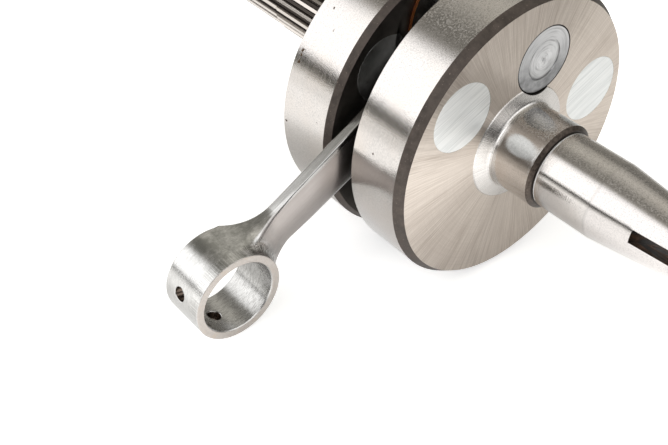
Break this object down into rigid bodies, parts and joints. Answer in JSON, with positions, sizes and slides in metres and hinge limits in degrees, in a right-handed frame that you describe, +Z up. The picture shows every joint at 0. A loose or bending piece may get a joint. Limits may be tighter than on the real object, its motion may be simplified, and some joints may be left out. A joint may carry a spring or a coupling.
{
  "type": "crankshaft assembly",
  "caption": "Built-up single-cylinder crankshaft with round webs, alloy balance plugs, tapered and splined shaft ends, and a connecting rod on a needle big end.",
  "frame": {"origin": "on the crank axis, at the middle of the taper-side main bearing seat", "axes": "Y is the crank axis with the spline end towards +Y and the ignition taper towards -Y; Z is up with the webs and the small end resting on the table; the rod swings in the XZ plane and lies towards -X"},
  "size_m": [0.1095, 0.1774, 0.07],
  "materials": {
    "forged_steel": "ground and turned",
    "pin_steel": "ground",
    "plug_alloy": "machined",
    "rod_steel": "polished",
    "cage_steel": "phosphated",
    "washer_copper": "copper plated",
    "needle_steel": "lapped"
  },
  "bodies": {
    "crank": {"crank_half_taper": "forged_steel", "crank_half_spline": "forged_steel", "crank_pin": "pin_steel", "plug_taper_front": "plug_alloy", "plug_taper_rear": "plug_alloy", "plug_spline_front": "plug_alloy", "plug_spline_rear": "plug_alloy"},
    "rod": {"connecting_rod": "rod_steel"},
    "cage": {"needle_cage": "cage_steel"},
    "washer_a": {"washer_taper": "washer_copper"},
    "washer_b": {"washer_spline": "washer_copper"},
    "roller_01": {"needle_01": "needle_steel"},
    "roller_02": {"needle_02": "needle_steel"},
    "roller_03": {"needle_03": "needle_steel"},
    "roller_04": {"needle_04": "needle_steel"},
    "roller_05": {"needle_05": "needle_steel"},
    "roller_06": {"needle_06": "needle_steel"},
    "roller_07": {"needle_07": "needle_steel"},
    "roller_08": {"needle_08": "needle_steel"},
    "roller_09": {"needle_09": "needle_steel"},
    "roller_10": {"needle_10": "needle_steel"},
    "roller_11": {"needle_11": "needle_steel"},
    "roller_12": {"needle_12": "needle_steel"},
    "roller_13": {"needle_13": "needle_steel"},
    "roller_14": {"needle_14": "needle_steel"}
  },
  "joints": [
    {"name": "rod_swing", "type": "hinge", "parent": "crank", "child": "rod", "pos_m": [0.00269, 0.0259, 0.01962], "axis": [0, 1, 0], "continuous": true},
    {"name": "cage_turn", "type": "hinge", "parent": "crank", "child": "cage", "pos_m": [0.00269, 0.0259, 0.01962], "axis": [0, 1, 0], "continuous": true},
    {"name": "washer_taper_turn", "type": "hinge", "parent": "crank", "child": "washer_a", "pos_m": [0.00269, 0.0259, 0.01962], "axis": [0, 1, 0], "continuous": true},
    {"name": "washer_spline_turn", "type": "hinge", "parent": "crank", "child": "washer_b", "pos_m": [0.00269, 0.0259, 0.01962], "axis": [0, 1, 0], "continuous": true},
    {"name": "roller_01_spin", "type": "hinge", "parent": "cage", "child": "roller_01", "pos_m": [0.01195, 0.0259, 0.01962], "axis": [0, 1, 0], "continuous": true},
    {"name": "roller_02_spin", "type": "hinge", "parent": "cage", "child": "roller_02", "pos_m": [0.01103, 0.0259, 0.02363], "axis": [0, 1, 0], "continuous": true},
    {"name": "roller_03_spin", "type": "hinge", "parent": "cage", "child": "roller_03", "pos_m": [0.00846, 0.0259, 0.02686], "axis": [0, 1, 0], "continuous": true},
    {"name": "roller_04_spin", "type": "hinge", "parent": "cage", "child": "roller_04", "pos_m": [0.00475, 0.0259, 0.02864], "axis": [0, 1, 0], "continuous": true},
    {"name": "roller_05_spin", "type": "hinge", "parent": "cage", "child": "roller_05", "pos_m": [0.00063, 0.0259, 0.02864], "axis": [0, 1, 0], "continuous": true},
    {"name": "roller_06_spin", "type": "hinge", "parent": "cage", "child": "roller_06", "pos_m": [-0.00309, 0.0259, 0.02686], "axis": [0, 1, 0], "continuous": true},
    {"name": "roller_07_spin", "type": "hinge", "parent": "cage", "child": "roller_07", "pos_m": [-0.00566, 0.0259, 0.02363], "axis": [0, 1, 0], "continuous": true},
    {"name": "roller_08_spin", "type": "hinge", "parent": "cage", "child": "roller_08", "pos_m": [-0.00657, 0.0259, 0.01962], "axis": [0, 1, 0], "continuous": true},
    {"name": "roller_09_spin", "type": "hinge", "parent": "cage", "child": "roller_09", "pos_m": [-0.00566, 0.0259, 0.0156], "axis": [0, 1, 0], "continuous": true},
    {"name": "roller_10_spin", "type": "hinge", "parent": "cage", "child": "roller_10", "pos_m": [-0.00309, 0.0259, 0.01238], "axis": [0, 1, 0], "continuous": true},
    {"name": "roller_11_spin", "type": "hinge", "parent": "cage", "child": "roller_11", "pos_m": [0.00063, 0.0259, 0.01059], "axis": [0, 1, 0], "continuous": true},
    {"name": "roller_12_spin", "type": "hinge", "parent": "cage", "child": "roller_12", "pos_m": [0.00475, 0.0259, 0.01059], "axis": [0, 1, 0], "continuous": true},
    {"name": "roller_13_spin", "type": "hinge", "parent": "cage", "child": "roller_13", "pos_m": [0.00846, 0.0259, 0.01238], "axis": [0, 1, 0], "continuous": true},
    {"name": "roller_14_spin", "type": "hinge", "parent": "cage", "child": "roller_14", "pos_m": [0.01103, 0.0259, 0.0156], "axis": [0, 1, 0], "continuous": true}
  ],
  "couplings": [
    {"joint": "cage_turn", "follows": "rod_swing", "ratio": 0.56695},
    {"joint": "washer_taper_turn", "follows": "rod_swing", "ratio": 0.5},
    {"joint": "washer_spline_turn", "follows": "rod_swing", "ratio": 0.5},
    {"joint": "roller_01_spin", "follows": "rod_swing", "ratio": 3.6669},
    {"joint": "roller_02_spin", "follows": "rod_swing", "ratio": 3.6669},
    {"joint": "roller_03_spin", "follows": "rod_swing", "ratio": 3.6669},
    {"joint": "roller_04_spin", "follows": "rod_swing", "ratio": 3.6669},
    {"joint": "roller_05_spin", "follows": "rod_swing", "ratio": 3.6669},
    {"joint": "roller_06_spin", "follows": "rod_swing", "ratio": 3.6669},
    {"joint": "roller_07_spin", "follows": "rod_swing", "ratio": 3.6669},
    {"joint": "roller_08_spin", "follows": "rod_swing", "ratio": 3.6669},
    {"joint": "roller_09_spin", "follows": "rod_swing", "ratio": 3.6669},
    {"joint": "roller_10_spin", "follows": "rod_swing", "ratio": 3.6669},
    {"joint": "roller_11_spin", "follows": "rod_swing", "ratio": 3.6669},
    {"joint": "roller_12_spin", "follows": "rod_swing", "ratio": 3.6669},
    {"joint": "roller_13_spin", "follows": "rod_swing", "ratio": 3.6669},
    {"joint": "roller_14_spin", "follows": "rod_swing", "ratio": 3.6669}
  ]
}
